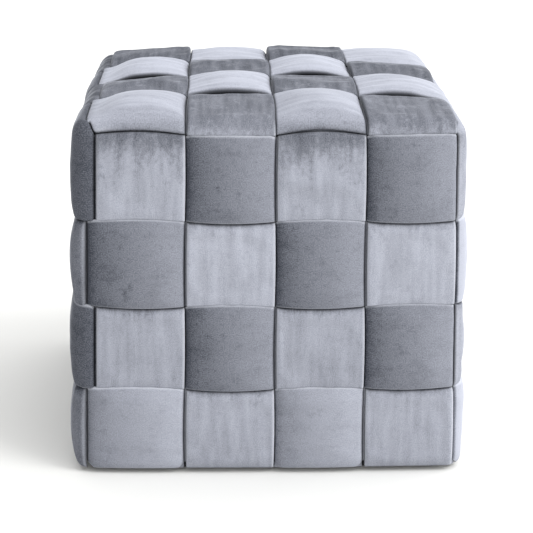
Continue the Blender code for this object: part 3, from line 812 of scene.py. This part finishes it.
# The front straps
SLIT, TOP_SLIT = 0.0014, 0.0007  # gap along the left edge of a front strap, on the front and on the top
FIRST_TUCK = 0.004  # how much further the leftmost one runs under the highest ring on the top
ARCHES, ARCH_REACH = (0.003, 0.0, 0.0045, 0.0), 0.03  # how far each bows over the front's upper edge
TOP_FOLD = 0.0032  # width of the painted fold shade on the top
FRONT_LIFT, LEAST_LIFT = 0.005, 0.4  # how far a cell's middle is lifted, and the front cells' share of it
LIFT_EARLY, LIFT_LENGTH = 0.006, 0.03  # how early that starts before the top, and how long it grows
FRONT_NAP = 0.69  # how light the front straps look
FOOT_SHADE, NAP_EVEN, REAR_SHADE = 0.16, 0.07, 0.14  # painted shade at the foot, lighter in 2 and 4, painted shade at the rear
DIVE_SHADE, DIVE_SHADE_REACH = 0.4, 0.003  # painted shade where a strap dives on the top, and over what distance it fades
PRESSED_EDGE, PRESSED_TOP = 0.38, 0.68  # share to which the pile is pressed at the upper edge and behind it

# The side straps
TOP_LIFTS = (0.005, 0.0047, 0.0066, 0.0003)  # how far each is lifted in the middle of a cell on the top
LENS, LENS_FOLD = 0.0032, 0.0015  # gap in front of a side strap there, and how much its painted fold shade widens
PAINTED_SHADE_LEFT_UP, NAP_TOP, NAP_AND_LIGHT_ON_RIGHT = 0.22, 0.8, 0.75  # how light they look on the left side, darker in painted shade, on the top, and on the right side, from their nap and painted light
NAP_FIRST = 0.1  # how much darker the first one is on the top
NAP_EARLY, NAP_LENGTH = 0.008, 0.012  # how early the top's nap starts before it, and how long it takes
LEFT_EDGE_SHADE, LEFT_EDGE_SHADE_REACH = 0.9, 0.022  # how much painted shade, mottled like pressed pile, darkens the rounded edge between the left side and the top, and how far from it it reaches
FLAT_EDGE, FLAT_FADE = 0.012, 0.015  # how far from the left edge a strap lies flat, and how that fades
SIDE_GROWTH = 0.036  # how long the lift and the puff take to grow on the top
FIRST_PULL, FIRST_PUFF, FIRST_FOLD, FIRST_BROW = 0.15, 0.8, 0.7, 0.3  # of the first one, in front
TOP_PULL, THIN_FOLD, TOP_BROW = 1.1, 0.0005, 0.05  # of the others on the top
for number in range(1, CELLS + 1):
    # A strap up the front, over the top and down the back. Its path starts at the foot of the front.
    odd = number % 2 == 1
    cells, crossings = strap_layout(
        [(number + row) % 2 == 0 for row in range(CELLS, 0, -1)],
        [(number + depth) % 2 == 1 for depth in range(1, CELLS + 1)],
        [(number + row) % 2 == 1 for row in range(1, CELLS + 1)],
        0.0,
        (0.0, TOP_START - (RISE + ARCH_START) if odd else QUARTER, QUARTER),
    )
    left = COLUMN_SHIFT - HALF + (number - 1) * CELL

    def front_edges(s, over, to_end):
        on_top = clipped(min(s - RISE, STRAP_LENGTH - RISE - s) / QUARTER)
        wider = (FRONT_WRAP - COLUMN_SHIFT) * on_top if number == CELLS else 0.0
        slit = SLIT + (TOP_SLIT - SLIT) * on_top if over else 0.0
        if number == 1:
            slit = SLIT - FIRST_TUCK * on_top
        return left + slit, left + CELL + wider

    def front_tone(s, from_low, to_high):
        on_top = clipped((s - RISE) / QUARTER) * clipped((STRAP_LENGTH - RISE - s) / QUARTER)
        pressed = pressed_and_shaded_pile(s, from_low, to_high)
        if on_top:
            pressed = min(PRESSED_TOP, PRESSED_EDGE + 0.5 * on_top)
        # Painted shade at the foot, towards the rear and where the strap dives on the top
        nap = FRONT_NAP - FOOT_SHADE * max(0.0, 1 - s / RISE)
        nap += 0.0 if odd else NAP_EVEN * (1 - on_top)
        nap -= REAR_SHADE * clipped((s - TOP_START) / (2 * HALF))
        return nap - DIVE_SHADE * on_top * math.exp(-max(0.0, to_high) / DIVE_SHADE_REACH), pressed

    def front_form(s, to_end):
        on_top = eased(min(s - TOP_START + LIFT_EARLY, TOP_END + LIFT_EARLY - s) / LIFT_LENGTH)
        backwards = clipped((s - TOP_START) / (2 * HALF))
        lift = EDGE_LIFT + (FRONT_LIFT * (LEAST_LIFT + backwards) - EDGE_LIFT) * on_top
        arch = ARCHES[number - 1] * max(0.0, 1 - abs(s - RISE) / ARCH_REACH)
        past_edge = clipped((s - RISE) / QUARTER)
        fold = (FOLD if number > 1 else FOLD / 2) + (TOP_FOLD - FOLD) * past_edge
        return PULL_SHARE, lift, PUFF * (1 - 0.5 * on_top), arch, 1 - past_edge, fold, 0.0

    bands[f"strap_front_{number}"] = make_band(
        name=f"strap_front_{number}",
        path=STRAP_PATH,
        closed=False,
        weaving=(cells, crossings),
        edges=front_edges,
        place=lambda p: (0.0, p.x, p.y),
        across=(1, 0, 0),
        wrap_from=HALF,
        lateral=(left, CELL, -HALF, HALF),
        tone_at=front_tone,
        form_at=front_form,
        seed=number + 20,
    )

    # A strap up the left side, over the top and down the right side. Its path starts at the left foot.
    cells, crossings = strap_layout(
        [(number + row) % 2 == 1 for row in range(CELLS, 0, -1)],
        [(number + column) % 2 == 0 for column in range(1, CELLS + 1)],
        [(number + row) % 2 == 0 for row in range(1, CELLS + 1)],
        COLUMN_SHIFT,
        (RING_WRAP, 0.0, FRONT_WRAP - COLUMN_SHIFT),
    )
    near = -HALF + (number - 1) * CELL

    def side_edges(s, over, to_end):
        wrap = QUARTER - (QUARTER - WRAP_ON_RIGHT) * clipped((s - TOP_END) / QUARTER)
        wrap -= (QUARTER - WRAP_ON_LEFT) * clipped((TOP_START - s) / QUARTER)
        flat_top = TOP_START < s < TOP_END
        lens = LENS * swelled(to_end) if number > 1 and over and flat_top else 0.0
        if number == 1:
            # It gives way to the highest ring at the left end of the top, and to the front straps' arches.
            past_start = s - TOP_START
            give = clipped(-past_start / QUARTER) if past_start < 0 else min(1.0, past_start / COLUMN_SHIFT)
            wrap *= 0.35 + 0.65 * give
            if over and flat_top:
                column = min(CELLS - 1, max(0, int((s - TOP_START - COLUMN_SHIFT) / CELL)))
                part = clipped((s - TOP_START - COLUMN_SHIFT) / CELL - column)
                wrap -= ARCH_START + ARCHES[column] * math.sin(math.pi * part)
        return near + lens - (wrap if number == 1 else 0.0), near + CELL + (wrap if number == CELLS else 0.0)

    def side_tone(s, from_low, to_high):
        # Painted shade on the left side and, for straps 2 and 4, on the rounded edge above it
        left_edge = 0.0 if odd else max(0.0, 1 - abs(s - RISE - QUARTER / 2) / LEFT_EDGE_SHADE_REACH)
        onto_top = clipped((s - TOP_START + NAP_EARLY) / NAP_LENGTH)
        nap = PAINTED_SHADE_LEFT_UP + (NAP_TOP - PAINTED_SHADE_LEFT_UP) * onto_top if s < TOP_END else NAP_AND_LIGHT_ON_RIGHT
        nap -= NAP_FIRST * onto_top if number == 1 else 0.0
        return nap, max(min(LEFT_EDGE_SHADE, 2 * left_edge), pressed_and_shaded_pile(s, from_low, to_high))

    def side_form(s, to_end):
        on_top = eased(min(s - TOP_START, TOP_END - s) / SIDE_GROWTH)
        on_edge = max(0.0, 1 - max(0.0, abs(s - TOP_START + QUARTER / 2) - FLAT_EDGE) / FLAT_FADE)
        lift = EDGE_LIFT * (1 - on_edge) + (TOP_LIFTS[number - 1] - EDGE_LIFT) * on_top
        if s > TOP_END:
            return PULL_SHARE, 0.0, PUFF / 2, 0.0, 1.0, FOLD, 0.0
        if number == 1:
            puff, fold = PUFF * (1 + FIRST_PUFF * on_top), FOLD * (1 - FIRST_FOLD * on_top)
            return FIRST_PULL, lift, puff, 0.0, 1 - on_top, fold, FIRST_BROW * on_top
        pull = PULL_SHARE + TOP_PULL * on_top
        fold = FOLD + (THIN_FOLD + LENS_FOLD * swelled(to_end) * on_top - FOLD) * on_top
        return pull, lift, PUFF * (1 - on_edge), 0.0, 1 - on_top, fold, TOP_BROW * on_top

    bands[f"strap_side_{number}"] = make_band(
        name=f"strap_side_{number}",
        path=STRAP_PATH,
        closed=False,
        weaving=(cells, crossings),
        edges=side_edges,
        place=lambda p: (p.x, 0.0, p.y),
        across=(0, 1, 0),
        wrap_from=HALF,
        lateral=(near, CELL, -HALF, HALF),
        tone_at=side_tone,
        form_at=side_form,
        seed=number + 40,
    )

# The filling swells each tube between its tucks, and a little slack in the velvet falls into soft folds
FILL_PRESSURE, FILL_FRAMES = 4.0, 20
SLACK, MOST_FILL = 0.006, 0.0018  # share by which the velvet is too long, and the most it may move
scene = bpy.context.scene
for band in bands.values():
    held = band.vertex_groups.new(name="held")
    for vertex, free in zip(band.data.vertices, band.data.attributes["free"].data):
        held.add([vertex.index], 1 - free.value, "REPLACE")
    cloth = band.modifiers.new("Fill", "CLOTH")
    cloth.settings.vertex_group_mass = "held"
    cloth.settings.quality = 4
    cloth.settings.mass = 0.3
    cloth.settings.tension_stiffness = cloth.settings.compression_stiffness = 12
    cloth.settings.shear_stiffness = 6
    cloth.settings.bending_stiffness = 1.5
    cloth.settings.shrink_min = -SLACK
    cloth.settings.use_pressure = True
    cloth.settings.uniform_pressure_force = FILL_PRESSURE
    cloth.settings.effector_weights.gravity = 0
    cloth.collision_settings.use_collision = False
    cloth.point_cache.frame_start, cloth.point_cache.frame_end = 1, FILL_FRAMES
for number in range(1, FILL_FRAMES + 1):
    scene.frame_set(number)
graph = bpy.context.evaluated_depsgraph_get()
for band in bands.values():
    filled = band.evaluated_get(graph).data.vertices
    for vertex, settled_at in zip(band.data.vertices, filled):
        moved_by = settled_at.co - vertex.co
        if moved_by.length > MOST_FILL:
            moved_by *= MOST_FILL / moved_by.length
        vertex.co += moved_by
    band.modifiers.clear()
scene.frame_set(1)

for name, band in bands.items():
    smooth = band.modifiers.new("Smooth", "SUBSURF")
    smooth.levels = smooth.render_levels = 1
    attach(band, "root")
    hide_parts(name)


# --------------------------------------------------------------------------------------------------------
# The base panel
# A flat board under the pouf, covered in thin black needle felt that is stapled on over the ends of the
# straps. Only its edge shows, as a dark line along the floor.

FELT_BLACK, FELT_FLECK = "101113", "26282C"
FELT_TANGLE = 400.0  # fibre tufts a metre, one each 2.5 mm, as coarse as they need to show

# Needle felt: dead matt, with a tangle of fibres a little lighter than the rest.
felt, tree, shader = new_material("Needle felt", {"Roughness": 0.95, "Sheen Weight": 0.15})
place = add(tree, "TexCoord", {}).outputs["Object"]
fibres = add(tree, "TexNoise", {"Vector": place, "Scale": FELT_TANGLE, "Detail": 4.0, "Distortion": 1.5})
shade = add(tree, "ValToRGB", {"Fac": fibres})
shade.color_ramp.elements[0].color = linear(FELT_BLACK)
shade.color_ramp.elements[0].position = 0.35
shade.color_ramp.elements[1].color = linear(FELT_FLECK)
tree.links.new(shade.outputs["Color"], shader.inputs["Base Color"])
relief = add(tree, "Bump", {"Height": fibres, "Strength": 0.5, "Distance": 0.0004})
tree.links.new(relief.outputs["Normal"], shader.inputs["Normal"])
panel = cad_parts["base_panel"]
panel.data.materials.clear()
panel.data.materials.append(felt)


# --------------------------------------------------------------------------------------------------------
# Floor, light and camera
# A white studio floor, a wide soft light from the upper right and front, and a pale room that is brighter
# on its right.

FLOOR_REACH = 15.0
FLOOR_WHITE, FLOOR_GLOW = "DDDDDB", 0.02
ROOM_ON_LEFT, ROOM_ON_RIGHT = 0.58, 2.4
LIGHT_FROM, LIGHT_STRENGTH, LIGHT_WIDTH = Vector((0.75, -0.4, 1.0)), 1.15, math.radians(24)
CAMERA_PLACE = Vector((-0.0546, -1.8096, 0.759))
CAMERA_TURN, CAMERA_DROP, CAMERA_ROLL = math.radians(1.8125), math.radians(18.0973), math.radians(0.43)
FOCAL_LENGTH, SENSOR_WIDTH = 108.75, 36  # in millimetres

floor_data = bpy.data.meshes.new("floor")
floor_corners = [(x * FLOOR_REACH, y * FLOOR_REACH, 0) for x, y in ((-1, -1), (1, -1), (1, 1), (-1, 1))]
floor_data.from_pydata(floor_corners, [], [(0, 1, 2, 3)])
floor = bpy.data.objects.new("floor", floor_data)
bpy.context.scene.collection.objects.link(floor)
finish = {"Base Color": linear(FLOOR_WHITE), "Roughness": 0.9, "Specular IOR Level": 0.1}
finish |= {"Emission Color": (1, 1, 1, 1), "Emission Strength": FLOOR_GLOW}
floor_data.materials.append(new_material("White paper floor", finish)[0])

world = bpy.data.worlds.new("Studio")
bpy.context.scene.world = world
world.use_nodes = True
studio = world.node_tree
direction = add(studio, "TexCoord", {}).outputs["Generated"]
sideways = add(studio, "SeparateXYZ", {0: direction}).outputs["X"]
room = {"Value": sideways, "From Min": -1.0, "To Min": ROOM_ON_LEFT, "To Max": ROOM_ON_RIGHT}
room = add(studio, "MapRange", room)
studio.nodes["Background"].inputs["Color"].default_value = (1, 1, 1, 1)
studio.links.new(room.outputs["Result"], studio.nodes["Background"].inputs["Strength"])
bpy.context.scene.view_settings.view_transform = "Standard"

light = bpy.data.lights.new("soft box", "SUN")
light.energy = LIGHT_STRENGTH
light.angle = LIGHT_WIDTH
lamp = bpy.data.objects.new("soft box", light)
bpy.context.scene.collection.objects.link(lamp)
lamp.rotation_euler = LIGHT_FROM.to_track_quat("Z", "Y").to_euler()

camera_data = bpy.data.cameras.new("camera")
camera_data.lens = FOCAL_LENGTH
camera_data.sensor_width = SENSOR_WIDTH
camera = bpy.data.objects.new("camera", camera_data)
bpy.context.scene.collection.objects.link(camera)
forward = Vector(
    (
        math.sin(CAMERA_TURN) * math.cos(CAMERA_DROP),
        math.cos(CAMERA_TURN) * math.cos(CAMERA_DROP),
        -math.sin(CAMERA_DROP),
    )
)
right = forward.cross(Vector((0, 0, 1))).normalized()
up = right.cross(forward)
right, up = (
    math.cos(CAMERA_ROLL) * right + math.sin(CAMERA_ROLL) * up,
    math.cos(CAMERA_ROLL) * up - math.sin(CAMERA_ROLL) * right,
)
turned = Matrix((right, up, -forward)).transposed()
camera.matrix_world = Matrix.Translation(CAMERA_PLACE) @ turned.to_4x4()
bpy.context.scene.camera = camera
